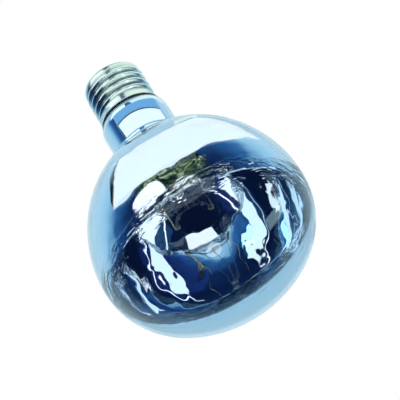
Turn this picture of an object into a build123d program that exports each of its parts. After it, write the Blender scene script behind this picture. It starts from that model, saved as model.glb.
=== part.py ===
# Reflector bulb with a clear front, a mirrored back and a screw cap.
# Millimetres. The origin is the middle of the end contact, and +Z runs along the lamp to its front.

import math
import os

from build123d import *

# Glass
bulb_radius = 47.5
widest_z = 95.8
back_depth = 51.1
front_height = 37.5
rim_radius = 31.75
glass_wall = 0.9
neck_radius = 15.0
neck_bend_share = 0.477
shoulder_rise = 4.7332612
shell_rim_gap = 0.55
tail_radius = 11.2
tail_bend = 2.0
tail_z = 10.0

# Mirror film inside the glass
film_thickness = 0.1
film_low_z = 24.0
film_rise = 8.2

# Screw shell of the cap
sheet = 0.3
thread_radius = 13.15
thread_depth = 0.95
thread_pitch = 3.629
thread_low_z = 6.8
thread_high_z = 23.0
thread_fade = 2.4
thread_steps = 90
lip_z = 5.1
lip_radius = 10.6
lip_bend = 1.5
skirt_z = 23.8
flare_z = 24.8
rim_z = 25.8
rim_flare = 0.6

# End of the cap
contact_radius = 4.9
contact_thickness = 0.6
solder_radius = 2.6
solder_height = 0.7
solder_flat = 1.1
wire_hole = 0.9
insulator_face_radius = 5.6
insulator_edge = 0.6
insulator_high_z = 9.0
insulator_dish_radius = 5.0
insulator_dish_z = 6.0
insulator_middle_z = 5.0
cement_low_z = 15.0

# Glass stem
stem_radius = 5.0
stem_wall = 1.0
flare_rim = 1.2
flare_high_z = 18.0
flare_bend = 6.0
press_foot_z = 34.0
press_low_z = 40.0
press_high_z = 47.0
press_width = 13.0
press_thickness = 4.6
press_round = 2.0
press_edge = 0.8
exhaust_radius = 2.2
exhaust_wall = 0.8
exhaust_tip_z = 10.8
arbor_radius = 1.5
button_z = 67.0
button_radius = 3.0
button_height = 4.4
button_round = 1.4

# Wires
lead_radius = 0.35
seal_radius = 0.25
outer_lead_radius = 0.18
support_radius = 0.16
seal_x = 3.1
seal_stub = 0.5
lead_foot_z = 51.0
lead_shoulder_z = 60.0
lead_bend = 3.0
support_knee_z = 75.0
support_bend = 1.5
support_depth = 1.2
support_angle = 45.0
filament_z = 86.0
filament_ring = 8.0
filament_radius = 0.55
filament_leg = 1.2
hook_clearance = 0.02
hook_angle = 290.0
outer_lead_low_z = 12.5
outer_lead_turn_z = 9.6
outer_lead_bend = 1.0
contact_lead_z = 7.5
contact_lead_end_z = 0.9
side_solder_radius = 1.1

# Neck and shoulder of the glass, between the rim of the shell and the bowl
neck_end_z = widest_z - back_depth * math.sqrt(1 - (neck_radius / bulb_radius) ** 2)
shoulder_top_z = rim_z + shoulder_rise
neck_fillet = neck_bend_share * (neck_end_z - shoulder_top_z)
throat_radius = thread_radius + rim_flare - sheet - shell_rim_gap
shoulder_width = neck_radius - throat_radius
shoulder_radius = (shoulder_width**2 + (shoulder_top_z - rim_z) ** 2) / (2 * shoulder_width)

# Sizes that follow
film_high_z = widest_z + film_rise
rim_x = bulb_radius - rim_radius
dome_radius = (rim_x**2 + front_height**2 - rim_radius**2) / (2 * (front_height - rim_radius))
dome_z = widest_z + front_height - dome_radius
rim_angle = math.degrees(math.atan2(widest_z - dome_z, rim_x))
thread_mid = thread_radius - thread_depth / 2
root_radius = thread_radius - thread_depth
bore_radius = root_radius - sheet
tail_bore = tail_radius - glass_wall
shell_gap = (tail_radius + bore_radius) / 2
contact_back_z = solder_height + contact_thickness
press_roof_z = press_high_z + seal_stub
press_floor_z = press_foot_z - seal_stub


def bulb_outline(inset):
    """Draw the bulb's half section, the given distance inside its outer surface."""
    shoulder = shoulder_radius - inset
    shoulder_x = neck_radius - shoulder_radius
    shoulder_angle = math.degrees(math.acos((tail_radius - inset - shoulder_x) / shoulder))
    across = bulb_radius - inset
    depth = back_depth - inset
    sweep_angle = math.acos((neck_radius - inset) / across)
    reach = 4 / 3 * math.tan(sweep_angle / 4)
    foot = Vector(neck_radius - inset, widest_z - depth * math.sin(sweep_angle))
    foot_pull = Vector(across * math.sin(sweep_angle), depth * math.cos(sweep_angle)) * reach
    tail = Line((0, tail_z), (tail_radius - inset, tail_z))
    curve = CenterArc((shoulder_x, shoulder_top_z), shoulder, -shoulder_angle, shoulder_angle)
    Line(tail @ 1, curve @ 0)
    Line(curve @ 1, foot)
    Bezier(foot, foot + foot_pull, (across, widest_z - depth * reach), (across, widest_z))
    CenterArc((rim_x, widest_z), rim_radius - inset, 0, rim_angle)
    dome = CenterArc((0, dome_z), dome_radius - inset, rim_angle, 90 - rim_angle)
    Line(dome @ 1, tail @ 0)


def bulb_face(inset, mode=Mode.ADD):
    """Fill the bulb's outline and ease its two hollow corners, under the neck and under the bowl."""
    with BuildSketch(mode=Mode.PRIVATE) as outline:
        with BuildLine():
            bulb_outline(inset)
        make_face()
        tail_corner = (tail_radius - inset, rim_z)
        fillet(outline.vertices().sort_by_distance(tail_corner)[0], tail_bend + inset)
        neck_corner = (neck_radius - inset, widest_z - back_depth)
        fillet(outline.vertices().sort_by_distance(neck_corner)[0], neck_fillet + inset)
    add(outline.sketch, mode=mode)


def thread_point(step):
    """Point of the line that carries the shell's section round, which rolls the thread."""
    z = thread_low_z + (thread_high_z - thread_low_z) * step / thread_steps
    share = min(1.0, (z - thread_low_z) / thread_fade, (thread_high_z - z) / thread_fade)
    throw = thread_depth / 2 * (1 - math.cos(math.pi * share)) / 2
    turn = 2 * math.pi * (z - thread_low_z) / thread_pitch
    return (throw * math.cos(turn), throw * math.sin(turn), z)


def draw_wire(path, radius):
    """Sweep a round wire along the given path, from its first point."""
    with BuildSketch(Plane(path @ 0, z_dir=path % 0)) as section:
        Circle(radius)
    sweep(section.sketch, path=path)


# Glass bulb, blown in one piece
with BuildPart() as glass_bulb:
    with BuildSketch(Plane.XZ):
        bulb_face(0)
        bulb_face(glass_wall, Mode.SUBTRACT)
    revolve(axis=Axis.Z)

# Mirror film on the inside of the neck and the bowl
with BuildPart() as mirror_coating:
    with BuildSketch(Plane.XZ):
        bulb_face(glass_wall)
        bulb_face(glass_wall + film_thickness, Mode.SUBTRACT)
        with Locations((0, film_low_z)):
            Rectangle(
                bulb_radius,
                film_high_z - film_low_z,
                align=(Align.MIN, Align.MIN),
                mode=Mode.INTERSECT,
            )
    revolve(axis=Axis.Z)

# Screw shell: a lip, the rolled thread and a skirt, all in one sheet
with BuildPart() as cap_shell:
    with BuildLine() as thread_path:
        Spline(*[thread_point(step) for step in range(thread_steps + 1)])
    with BuildSketch(Plane.XY.offset(thread_low_z)):
        Circle(thread_mid)
        Circle(thread_mid - sheet, mode=Mode.SUBTRACT)
    sweep(path=thread_path.wires()[0], normal=(0, 0, 1))
    with BuildSketch(Plane.XZ) as lip:
        with BuildLine():
            Polyline(
                (lip_radius, lip_z),
                (thread_mid, lip_z),
                (thread_mid, thread_low_z),
                (thread_mid - sheet, thread_low_z),
                (thread_mid - sheet, lip_z + sheet),
                (lip_radius, lip_z + sheet),
                close=True,
            )
        make_face()
        fillet(lip.vertices().sort_by_distance((thread_mid, lip_z))[0], lip_bend)
        fillet(lip.vertices().sort_by_distance((thread_mid - sheet, lip_z + sheet))[0], lip_bend - sheet)
    revolve(axis=Axis.Z)
    with BuildSketch(Plane.XZ):
        with BuildLine():
            Polyline(
                (thread_mid, thread_high_z),
                (thread_radius, skirt_z),
                (thread_radius, flare_z),
                (thread_radius + rim_flare, rim_z),
                (thread_radius + rim_flare - sheet, rim_z),
                (thread_radius - sheet, flare_z),
                (thread_radius - sheet, skirt_z),
                (thread_mid - sheet, thread_high_z),
                close=True,
            )
        make_face()
    revolve(axis=Axis.Z)

# Black glass that closes the end of the cap
with BuildPart() as cap_insulator:
    with BuildSketch(Plane.XZ) as insulator_section:
        with BuildLine():
            Polyline(
                (wire_hole, contact_back_z),
                (insulator_face_radius, contact_back_z),
                (insulator_face_radius + insulator_edge, contact_back_z + insulator_edge),
                (lip_radius, lip_z),
                (lip_radius, lip_z + sheet),
                (thread_mid - sheet, lip_z + sheet),
                (thread_mid - sheet, thread_low_z),
                (bore_radius, thread_low_z + insulator_edge),
                (bore_radius, insulator_high_z),
                (insulator_dish_radius, insulator_dish_z),
                (wire_hole, insulator_middle_z),
                close=True,
            )
        make_face()
        bend = insulator_section.vertices().sort_by_distance((thread_mid - sheet, lip_z + sheet))[0]
        fillet(bend, lip_bend - sheet)
    revolve(axis=Axis.Z)

# Brass plate of the end contact
with BuildPart() as end_contact:
    with BuildSketch(Plane.XY.offset(solder_height)):
        Circle(contact_radius)
        Circle(wire_hole, mode=Mode.SUBTRACT)
    extrude(amount=contact_thickness)
    face_edges = end_contact.edges().group_by(Axis.Z)[0]
    chamfer(face_edges.sort_by(SortBy.RADIUS)[-1], contact_thickness / 2)

# Outer lead to the end contact
with BuildPart() as contact_lead:
    with BuildLine() as contact_lead_path:
        FilletPolyline(
            (-seal_x, 0, press_floor_z),
            (-seal_x, 0, outer_lead_low_z),
            (0, 0, contact_lead_z),
            (0, 0, contact_lead_end_z),
            radius=outer_lead_bend,
        )
    draw_wire(contact_lead_path.wires()[0], outer_lead_radius)

# Outer lead, round the tail of the glass to the rim of the shell
with BuildPart() as shell_lead:
    with BuildLine() as shell_lead_path:
        FilletPolyline(
            (seal_x, 0, press_floor_z),
            (seal_x, 0, outer_lead_low_z),
            (0, stem_radius, outer_lead_turn_z),
            (0, shell_gap, outer_lead_turn_z),
            (0, shell_gap, thread_high_z - sheet),
            (0, thread_mid - sheet / 2, flare_z),
            (0, throat_radius + shell_rim_gap / 2, rim_z),
            radius=outer_lead_radius * 2,
        )
    draw_wire(shell_lead_path.wires()[0], outer_lead_radius)

# Solder on the end contact, worn flat at its tip
with BuildPart() as contact_solder:
    with BuildSketch(Plane.XZ):
        with BuildLine():
            tip = Line((0, 0), (solder_flat, 0))
            dome = RadiusArc(tip @ 1, (solder_radius, solder_height), -solder_radius)
            Polyline(
                dome @ 1,
                (wire_hole, solder_height),
                (wire_hole, contact_back_z),
                (0, contact_back_z),
                tip @ 0,
            )
        make_face()
    revolve(axis=Axis.Z)
    add(contact_lead.part, mode=Mode.SUBTRACT)

# Basing cement between the glass tail and the shell
with BuildPart() as cap_cement:
    with BuildSketch(Plane.XZ):
        with BuildLine():
            Polyline(
                (tail_bore, cement_low_z),
                (bore_radius, cement_low_z),
                (bore_radius, thread_high_z - sheet),
                (thread_mid - sheet, thread_high_z),
                (thread_radius - sheet, skirt_z),
                (thread_radius - sheet, flare_z),
                (tail_bore, flare_z),
                close=True,
            )
        make_face()
        bulb_face(0, Mode.SUBTRACT)
    revolve(axis=Axis.Z)
    add(shell_lead.part, mode=Mode.SUBTRACT)

# Solder that joins the outer lead to the shell's rim
with BuildPart() as side_solder:
    with Locations((0, thread_radius + rim_flare, rim_z)):
        Sphere(side_solder_radius)
    add(cap_shell.part, mode=Mode.SUBTRACT)
    add(shell_lead.part, mode=Mode.SUBTRACT)
    add(cap_cement.part, mode=Mode.SUBTRACT)
    with BuildSketch(Plane.XZ):
        bulb_face(0)
    revolve(axis=Axis.Z, mode=Mode.SUBTRACT)

# Wires sealed in the pressed glass
with BuildPart() as seal_wire_left:
    with BuildSketch(Plane.XY.offset(press_floor_z)):
        with Locations((-seal_x, 0)):
            Circle(seal_radius)
    extrude(amount=press_roof_z - press_floor_z)

with BuildPart() as seal_wire_right:
    with BuildSketch(Plane.XY.offset(press_floor_z)):
        with Locations((seal_x, 0)):
            Circle(seal_radius)
    extrude(amount=press_roof_z - press_floor_z)

# Glass stem: the flare that closes the tail, its tube and the flat press
with BuildPart() as stem_flare:
    with BuildSketch(Plane.XZ) as flare_section:
        with BuildLine():
            Polyline(
                (tail_bore, tail_z),
                (tail_bore, tail_z + flare_rim),
                (stem_radius, flare_high_z),
                (stem_radius, press_foot_z),
                (stem_radius - stem_wall, press_foot_z),
                (stem_radius - stem_wall, flare_high_z),
                (tail_bore - stem_wall, tail_z + flare_rim),
                (tail_bore - stem_wall, tail_z),
                close=True,
            )
        make_face()
        fillet(flare_section.vertices().sort_by_distance((stem_radius, flare_high_z))[:2], flare_bend)
    revolve(axis=Axis.Z)
    with BuildSketch(Plane.XY.offset(press_foot_z)):
        Circle(stem_radius)
    with BuildSketch(Plane.XY.offset(press_low_z)):
        RectangleRounded(press_width, press_thickness, press_round)
    loft()
    with BuildSketch(Plane.XY.offset(press_low_z)):
        RectangleRounded(press_width, press_thickness, press_round)
    extrude(amount=press_high_z - press_low_z)
    fillet(stem_flare.edges().group_by(Axis.Z)[-1], press_edge)
    add(seal_wire_left.part, mode=Mode.SUBTRACT)
    add(seal_wire_right.part, mode=Mode.SUBTRACT)

# Pumping tube in the stem, melted shut at its tip
with BuildPart() as exhaust_tube:
    with BuildSketch(Plane.XZ):
        with BuildLine():
            side = Line((exhaust_radius, press_foot_z), (exhaust_radius, exhaust_tip_z + exhaust_radius))
            tip = TangentArc(side @ 1, (0, exhaust_tip_z), tangent=side % 1)
            Polyline(tip @ 1, (0, press_foot_z), side @ 0)
        make_face()
    revolve(axis=Axis.Z)
    with BuildSketch(Plane.XZ):
        bore = exhaust_radius - exhaust_wall
        with BuildLine():
            side = Line((bore, press_foot_z), (bore, exhaust_tip_z + exhaust_radius + exhaust_wall))
            tip = TangentArc(side @ 1, (0, exhaust_tip_z + 2 * exhaust_wall), tangent=side % 1)
            Polyline(tip @ 1, (0, press_foot_z), side @ 0)
        make_face()
    revolve(axis=Axis.Z, mode=Mode.SUBTRACT)

# Filament: the outer shape of the coil, half a ring with two straight legs
with BuildPart() as filament:
    with BuildLine(Plane.XY.offset(filament_z)) as filament_path:
        start = Line((-filament_ring, filament_leg), (-filament_ring, 0))
        ring = CenterArc((0, 0), filament_ring, 180, 180)
        Line(ring @ 1, (filament_ring, filament_leg))
    draw_wire(filament_path.wires()[0], filament_radius)

# Stiff lead wires, hooked round the legs of the filament
lead_hook = filament_radius + hook_clearance + lead_radius
with BuildPart() as lead_wire_right:
    with BuildLine(Plane.XZ) as lead_path:
        rise = FilletPolyline(
            (seal_x, press_roof_z),
            (seal_x, lead_foot_z),
            (filament_ring + lead_hook, lead_shoulder_z),
            (filament_ring + lead_hook, filament_z),
            radius=lead_bend,
        )
        CenterArc((filament_ring, filament_z), lead_hook, 0, hook_angle)
    draw_wire(lead_path.wires()[0], lead_radius)

with BuildPart() as lead_wire_left:
    add(lead_wire_right.part)
    mirror(about=Plane.YZ, mode=Mode.REPLACE)

# Hooks that hold the filament's bow, set in the button of the arbor
support_hook = filament_radius + hook_clearance + support_radius


def bend_support(turn):
    """Bend one hook in the upright plane at the given angle from the front of the bow."""
    outward = Vector(0, -1, 0).rotate(Axis.Z, turn)
    across = Vector(-1, 0, 0).rotate(Axis.Z, turn)
    with BuildLine(Plane((0, 0, 0), x_dir=outward, z_dir=across)) as path:
        FilletPolyline(
            (button_radius - support_depth, button_z),
            (filament_ring - support_hook, support_knee_z),
            (filament_ring - support_hook, filament_z),
            radius=support_bend,
        )
        CenterArc((filament_ring, filament_z), support_hook, 180, -hook_angle)
    draw_wire(path.wires()[0], support_radius)


with BuildPart() as support_wire_left:
    bend_support(-support_angle)

with BuildPart() as support_wire_middle:
    bend_support(0)

with BuildPart() as support_wire_right:
    bend_support(support_angle)

# Glass arbor with the button that grips the hooks
with BuildPart() as arbor_rod:
    with BuildSketch(Plane.XY.offset(press_high_z)):
        Circle(arbor_radius)
    extrude(amount=button_z - press_high_z)
    with BuildSketch(Plane.XY.offset(button_z - button_height / 2)):
        Circle(button_radius)
    extrude(amount=button_height)
    fillet(arbor_rod.edges().filter_by(GeomType.CIRCLE).group_by(SortBy.RADIUS)[-1], button_round)
    add(support_wire_left.part, mode=Mode.SUBTRACT)
    add(support_wire_middle.part, mode=Mode.SUBTRACT)
    add(support_wire_right.part, mode=Mode.SUBTRACT)

# One file for each piece
pieces = {
    "glass_bulb": glass_bulb,
    "mirror_coating": mirror_coating,
    "cap_shell": cap_shell,
    "cap_insulator": cap_insulator,
    "end_contact": end_contact,
    "contact_solder": contact_solder,
    "side_solder": side_solder,
    "cap_cement": cap_cement,
    "stem_flare": stem_flare,
    "exhaust_tube": exhaust_tube,
    "arbor_rod": arbor_rod,
    "seal_wire_left": seal_wire_left,
    "seal_wire_right": seal_wire_right,
    "contact_lead": contact_lead,
    "shell_lead": shell_lead,
    "lead_wire_left": lead_wire_left,
    "lead_wire_right": lead_wire_right,
    "support_wire_left": support_wire_left,
    "support_wire_middle": support_wire_middle,
    "support_wire_right": support_wire_right,
    "filament": filament,
}
os.makedirs("parts", exist_ok=True)
for label, piece in pieces.items():
    piece.part.label = label
    export_step(piece.part, f"parts/{label}.step")
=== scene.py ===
"""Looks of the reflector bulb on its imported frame: glass, mirror film, cap, filament mount and studio."""

import logging
import math
from collections.abc import Sequence
from dataclasses import dataclass
from enum import Enum
from typing import Any

import bmesh
import bpy
from bmesh.types import BMesh, BMVert
from bpy.types import Light, Material, Node, NodeSocket, NodeTree, Object, World
from mathutils import Matrix, Vector


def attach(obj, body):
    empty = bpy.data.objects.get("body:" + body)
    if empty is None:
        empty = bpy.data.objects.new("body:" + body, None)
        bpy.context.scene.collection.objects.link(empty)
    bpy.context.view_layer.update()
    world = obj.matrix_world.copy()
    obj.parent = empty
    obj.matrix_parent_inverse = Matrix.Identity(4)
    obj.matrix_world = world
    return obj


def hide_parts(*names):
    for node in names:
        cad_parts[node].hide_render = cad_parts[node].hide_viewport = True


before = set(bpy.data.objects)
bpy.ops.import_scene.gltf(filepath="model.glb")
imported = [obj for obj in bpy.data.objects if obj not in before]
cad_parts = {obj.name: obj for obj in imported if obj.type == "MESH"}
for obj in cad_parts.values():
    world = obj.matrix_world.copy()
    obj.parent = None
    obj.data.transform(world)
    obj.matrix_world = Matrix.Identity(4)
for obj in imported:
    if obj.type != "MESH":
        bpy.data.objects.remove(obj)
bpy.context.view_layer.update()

LOG = logging.getLogger("reflector_bulb")
BODY = "root"
# One millimetre in metres: sizes are written in millimetres, and every object is in metres.
MM = 0.001
FULL_TURN = 2 * math.pi
RIGHT_ANGLE = math.pi / 2
# A point nearer to the axis than this, in millimetres, lies on it.
ON_AXIS = 1e-4
# Numbers of the two colours and of the result on Blender's Mix node.
MIX_A, MIX_B, MIXED = 6, 7, 2
# Radius and height of each point of a section, in millimetres.
Rows = list[tuple[float, float]]
# Each point of the bulb's outline, in millimetres, and the way the glass faces there.
Outline = list[tuple[Vector, Vector]]
# What goes into a node, by the name or number of its input.
Inputs = dict[int | str, Any]


class Slot(Enum):
    """Names of material slots of the record, one for each finish of a new piece."""

    GLASS = "clear_glass"
    FILM = "mirror_film"
    CAP = "cap_metal"
    FILAMENT = "tungsten"


def linear(hex_colour: str) -> tuple[float, float, float, float]:
    """Turn an sRGB hex colour into linear values.

    Args:
        hex_colour: Colour such as "#A0B1C2".

    Returns:
        Linear red, green and blue, and an alpha of 1.
    """
    shares = [int(hex_colour[i : i + 2], 16) / 255 for i in (1, 3, 5)]
    red, green, blue = [c / 12.92 if c <= 0.04045 else ((c + 0.055) / 1.055) ** 2.4 for c in shares]
    return red, green, blue, 1.0


def empty_tree(owner: Material | World | Light) -> NodeTree:
    """Give a material, a world or a light an empty node tree.

    Args:
        owner: The material, world or light.

    Returns:
        Its node tree, with no nodes.
    """
    owner.use_nodes = True
    owner.node_tree.nodes.clear()
    return owner.node_tree


def add_node(tree: NodeTree, kind: str, inputs: Inputs | None = None, **settings: Any) -> Node:
    """Add one node to a tree, with its settings, values and links.

    Args:
        tree: Tree that gets the node.
        kind: Blender's name for the kind of node, where ShaderNode may be left off.
        inputs: Values, sockets to link from, or nodes to link from by their first output.
        **settings: Properties of the node.

    Returns:
        The new node.
    """
    node = tree.nodes.new(kind if "Node" in kind else f"ShaderNode{kind}")
    for name, value in settings.items():
        setattr(node, name, value)
    for key, value in (inputs or {}).items():
        source = value.outputs[0] if isinstance(value, Node) else value
        if isinstance(source, NodeSocket):
            tree.links.new(source, node.inputs[key])
        else:
            node.inputs[key].default_value = source
    return node


def fill_ramp(ramp: Node, bands: Sequence[tuple[float, str]]) -> None:
    """Set the stops of a colour ramp.

    Args:
        ramp: The colour ramp node.
        bands: Place and colour of each stop, in order.
    """
    stops = ramp.color_ramp.elements
    while len(stops) < len(bands):
        stops.new(1.0)
    for stop, (place, colour) in zip(stops, bands):
        stop.position = place
        stop.color = linear(colour)


# Finishes


@dataclass(frozen=True)
class WallWaves:
    """Unevenness of a blown wall, in millimetres.

    Slow waves run all over it. Short ripples lie in a belt where the front was turned in last,
    and break up what the eye sees there into glints.
    """

    wave: float = 26.0  # Spacing of the slow waves.
    wave_height: float = 0.02  # Their height.
    wave_detail: float = 1.0  # How many times finer waves ride on them.
    ripple: float = 2.6  # Spacing of the ripples along the axis.
    ripple_height: float = 0.0  # Their height, with no ripples where 0.
    round_share: float = 0.3  # How closely they are spaced round the axis, as a share of that along it.
    belt_z: float = 104.0  # Height of the belt's middle.
    belt: float = 8.0  # Half its width.
    # Height up to which the wall is even, as it is in a neck that was drawn as a tube.
    calm_z: float = -10.0
    calm: float = 16.0  # Length over which the slow waves then set in.

    def facing(self, tree: NodeTree, place: NodeSocket) -> Node:
        """Add the waves and ripples to a material.

        Args:
            tree: The material's node tree.
            place: Socket with the object's coordinates.

        Returns:
            Node that gives the way the uneven wall faces.
        """
        z = add_node(tree, "SeparateXYZ", {"Vector": place}).outputs["Z"]
        spacing = {"Scale": 1 / (self.wave * MM), "Detail": self.wave_detail, "Roughness": 0.4}
        waves = add_node(tree, "TexNoise", {"Vector": place, **spacing})
        level = add_node(tree, "Math", {0: waves, 1: 0.5}, operation="SUBTRACT")
        onset = add_node(
            tree,
            "MapRange",
            {"Value": z, "From Min": self.calm_z * MM, "From Max": (self.calm_z + self.calm) * MM},
            interpolation_type="SMOOTHSTEP",
        )
        grown = add_node(tree, "Math", {0: level, 1: onset}, operation="MULTIPLY")
        height = {"Height": grown, "Strength": 1.0, "Distance": self.wave_height * MM}
        wavy = add_node(tree, "Bump", height)
        if self.ripple_height == 0.0:
            return wavy
        scale = (self.round_share, self.round_share, 1.0)
        drawn_out = add_node(tree, "Mapping", {"Vector": place, "Scale": scale})
        spacing = {"Scale": 1 / (self.ripple * MM), "Detail": 2.0, "Distortion": 0.8}
        ripples = add_node(tree, "TexNoise", {"Vector": drawn_out, **spacing})
        off = add_node(tree, "Math", {0: z, 1: self.belt_z * MM}, operation="SUBTRACT")
        away = add_node(tree, "Math", {0: off}, operation="ABSOLUTE")
        share = add_node(
            tree,
            "MapRange",
            {"Value": away, "From Max": self.belt * MM, "To Min": 1.0, "To Max": 0.0},
            interpolation_type="SMOOTHSTEP",
        )
        swell = add_node(tree, "Math", {0: ripples, 1: share}, operation="MULTIPLY")
        height = {"Height": swell, "Strength": 1.0, "Distance": self.ripple_height * MM}
        return add_node(tree, "Bump", {"Normal": wavy, **height})


@dataclass(frozen=True)
class Finish:
    """A material with the way its surface was made."""

    name: str  # Name of the Blender material.

    def material(self) -> Material:
        """Build the material the first time, and hand out the same one afterwards.

        Returns:
            The Blender material.
        """
        known = bpy.data.materials.get(self.name)
        if known is not None:
            return known
        made = bpy.data.materials.new(self.name)
        tree = empty_tree(made)
        place = add_node(tree, "TexCoord").outputs["Object"]
        skin = add_node(tree, "BsdfPrincipled", self.skin(tree, place))
        add_node(tree, "OutputMaterial", {"Surface": skin, **self.inside(tree)})
        return made

    def skin(self, tree: NodeTree, place: NodeSocket) -> Inputs:
        """Build the surface's colour, shine and relief.

        Args:
            tree: The material's node tree.
            place: Socket with the object's coordinates.

        Returns:
            Inputs of the principled shader.
        """
        raise NotImplementedError

    def inside(self, tree: NodeTree) -> Inputs:
        """More inputs of the material's output, for what lies under a surface that light goes through."""
        return {}


@dataclass(frozen=True)
class ClearGlass(Finish):
    """Soda-lime or lead glass with a fire-polished skin.

    It is smooth and clear, bends what lies behind it a little where the blown wall varies,
    and turns faintly blue where the eye looks along the wall.
    """

    tint: str = "#F7FCFF"  # Colour of the glass at its skin.
    ior: float = 1.52  # Refractive index.
    waves: WallWaves = WallWaves()  # Unevenness of the wall.
    depth_colour: str = "#5FB4E8"  # Colour that a long way through the glass takes on.
    depth_density: float = 22.0  # How strongly it does so, per metre.

    def skin(self, tree: NodeTree, place: NodeSocket) -> Inputs:
        """Build the clear skin over the uneven wall.

        Args:
            tree: The material's node tree.
            place: Socket with the object's coordinates.

        Returns:
            Inputs of the principled shader.
        """
        return {
            "Base Color": linear(self.tint),
            "Roughness": 0.0,
            "IOR": self.ior,
            "Transmission Weight": 1.0,
            "Normal": self.waves.facing(tree, place),
        }

    def inside(self, tree: NodeTree) -> Inputs:
        """More inputs of the material's output, for the tint that grows with the way through the glass."""
        tint = {"Color": linear(self.depth_colour), "Density": self.depth_density}
        return {"Volume": add_node(tree, "VolumeAbsorption", tint)}


@dataclass(frozen=True)
class AluminiumFilm(Finish):
    """Aluminium laid on the glass as vapour, in vacuum.

    It is a bright mirror with a cold cast. It grows thin and greyer over its last millimetres
    at the front edge.
    """

    bright: str = "#F4FAFE"  # Colour where the film is thick.
    thin: str = "#E8F3FB"  # Colour where it is a little thinner.
    edge: str = "#B4C8D6"  # Colour at the front edge.
    smooth: float = 0.015  # Roughness where the film is thick.
    dull: float = 0.035  # Roughness where it is a little thinner.
    cloud_mm: float = 35.0  # Spacing of the slow changes in thickness.
    edge_z_mm: float = 104.0  # Height of the front edge.
    edge_mm: float = 1.2  # Width over which the edge fades.
    waves: WallWaves = WallWaves()  # Unevenness of the wall that it lies on.

    def skin(self, tree: NodeTree, place: NodeSocket) -> Inputs:
        """Build the mirror with its slow clouds and its grey edge.

        Args:
            tree: The material's node tree.
            place: Socket with the object's coordinates.

        Returns:
            Inputs of the principled shader.
        """
        spacing = {"Scale": 1 / (self.cloud_mm * MM), "Detail": 2.0}
        clouds = add_node(tree, "TexNoise", {"Vector": place, **spacing})
        shades = {MIX_A: linear(self.bright), MIX_B: linear(self.thin)}
        film = add_node(tree, "Mix", {0: clouds, **shades}, data_type="RGBA")
        z = add_node(tree, "SeparateXYZ", {"Vector": place}).outputs["Z"]
        band = {"From Min": (self.edge_z_mm - self.edge_mm) * MM, "From Max": self.edge_z_mm * MM}
        fade = add_node(tree, "MapRange", {"Value": z, **band})
        shades = {MIX_A: film.outputs[MIXED], MIX_B: linear(self.edge)}
        colour = add_node(tree, "Mix", {0: fade, **shades}, data_type="RGBA")
        rough = {"Value": clouds, "To Min": self.smooth, "To Max": self.dull}
        return {
            "Metallic": 1.0,
            "Base Color": colour.outputs[MIXED],
            "Roughness": add_node(tree, "MapRange", rough),
            "Normal": self.waves.facing(tree, place),
        }


@dataclass(frozen=True)
class NickelSheet(Finish):
    """Thin brass sheet, rolled to a thread and plated with bright nickel.

    It shines with a warm grey-green cast, carries fine lines round the axis from the rolling,
    is rubbed bright on the crests, and is darkened towards the roots of the thread by painted shade.
    """

    # Wear level and colour of the painted shade in the roots, of the flanks and of the rubbed crests.
    shades: tuple[tuple[float, str], ...] = ((0.11, "#222C2A"), (0.22, "#9DAAA4"), (0.8, "#E6ECE6"))
    smooth: float = 0.15  # Roughness of the crests.
    dull: float = 0.34  # Roughness of the roots.
    root_mm: float = 12.2  # Radius of the roots.
    crest_mm: float = 13.0  # Radius of the crests.
    stain_mm: float = 4.0  # Spacing of the stains.
    stain_share: float = 0.28  # How much of the wear the stains make up.
    # Spacing of the rolling lines, drawn coarser than the real ones so that they show.
    line_mm: float = 0.45
    line_height_mm: float = 0.1  # Their height.
    round_share: float = 0.05  # How closely they change round the axis, as a share of that along it.

    def skin(self, tree: NodeTree, place: NodeSocket) -> Inputs:
        """Build the plating with its wear, its stains, the painted shade in the thread's roots and the lines
        of the rolling.

        Args:
            tree: The material's node tree.
            place: Socket with the object's coordinates.

        Returns:
            Inputs of the principled shader.
        """
        flat = add_node(tree, "VectorMath", {0: place, 1: (1.0, 1.0, 0.0)}, operation="MULTIPLY")
        radius = add_node(tree, "VectorMath", {0: flat}, operation="LENGTH").outputs["Value"]
        # Painted shade: the colour grows darker from the crests down into the roots of the thread, where
        # shade falls.
        thread = {"From Min": self.root_mm * MM, "From Max": self.crest_mm * MM}
        height = add_node(tree, "MapRange", {"Value": radius, **thread})
        spacing = {"Scale": 1 / (self.stain_mm * MM), "Detail": 4.0, "Roughness": 0.6}
        stains = add_node(tree, "TexNoise", {"Vector": place, **spacing})
        # Real wear from the stains, added to the painted shade of the roots.
        wear_and_root_shade = add_node(
            tree,
            "Math",
            {0: stains, 1: self.stain_share, 2: height},
            operation="MULTIPLY_ADD",
            use_clamp=True,
        )
        colour = add_node(tree, "ValToRGB", {"Fac": wear_and_root_shade})
        fill_ramp(colour, self.shades)
        rough = {"Value": wear_and_root_shade, "To Min": self.dull, "To Max": self.smooth}
        scale = (self.round_share, self.round_share, 1.0)
        drawn_out = add_node(tree, "Mapping", {"Vector": place, "Scale": scale})
        spacing = {"Scale": 1 / (self.line_mm * MM), "Detail": 2.0}
        lines = add_node(tree, "TexNoise", {"Vector": drawn_out, **spacing})
        relief = {"Height": lines, "Strength": 0.8, "Distance": self.line_height_mm * MM}
        return {
            "Metallic": 1.0,
            "Base Color": colour,
            "Roughness": add_node(tree, "MapRange", rough),
            "Normal": add_node(tree, "Bump", relief),
        }


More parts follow.
